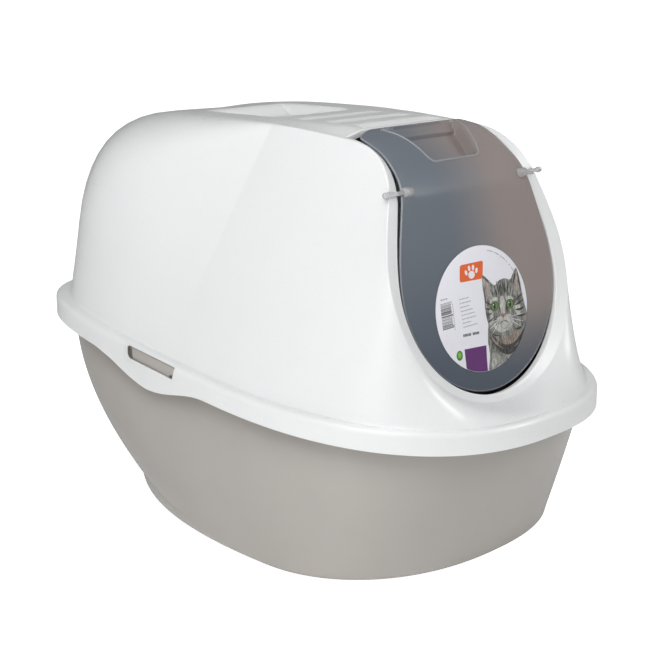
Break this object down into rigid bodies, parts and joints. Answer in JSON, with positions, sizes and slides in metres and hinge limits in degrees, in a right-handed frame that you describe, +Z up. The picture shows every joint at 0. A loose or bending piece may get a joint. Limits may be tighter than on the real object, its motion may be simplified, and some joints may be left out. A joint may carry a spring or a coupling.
{
  "type": "cat litter box with hood",
  "caption": "Hooded cat litter box: deep oval tray, tapered lift-off hood with a ribbed top, and a see-through swing door that wraps over the top.",
  "frame": {"origin": "on the floor, under the middle of the box's length and width", "axes": "+Z up, +Y towards the rear, the door faces -Y, +X to the right of someone who stands in front of the box and looks at the door"},
  "size_m": [0.4, 0.54, 0.41],
  "materials": {
    "tray": "smooth gloss taupe moulding",
    "hood": "smooth gloss white moulding",
    "door": "smoke-grey see-through plastic",
    "pin": "clear plastic",
    "label": "printed sticker",
    "holder": "white moulding",
    "filter": "carbon foam"
  },
  "bodies": {
    "tray": {"base_tray": "tray"},
    "hood": {"hood_shell": "hood"},
    "door": {"door_flap": "door", "hinge_pin_left": "pin", "hinge_pin_right": "pin", "door_label": "label"},
    "filter": {"filter_holder": "holder", "carbon_filter": "filter"}
  },
  "joints": [
    {"name": "hood_lift", "type": "slide", "parent": "tray", "child": "hood", "axis": [0, 0, 1], "range_m": [0, 0.12]},
    {"name": "door_swing", "type": "hinge", "parent": "hood", "child": "door", "pos_m": [0, -0.1605, 0.358], "axis": [1, 0, 0], "range_deg": [-50, 60]},
    {"name": "filter_drop", "type": "slide", "parent": "hood", "child": "filter", "axis": [0, 0, -1], "range_m": [0, 0.05]}
  ]
}
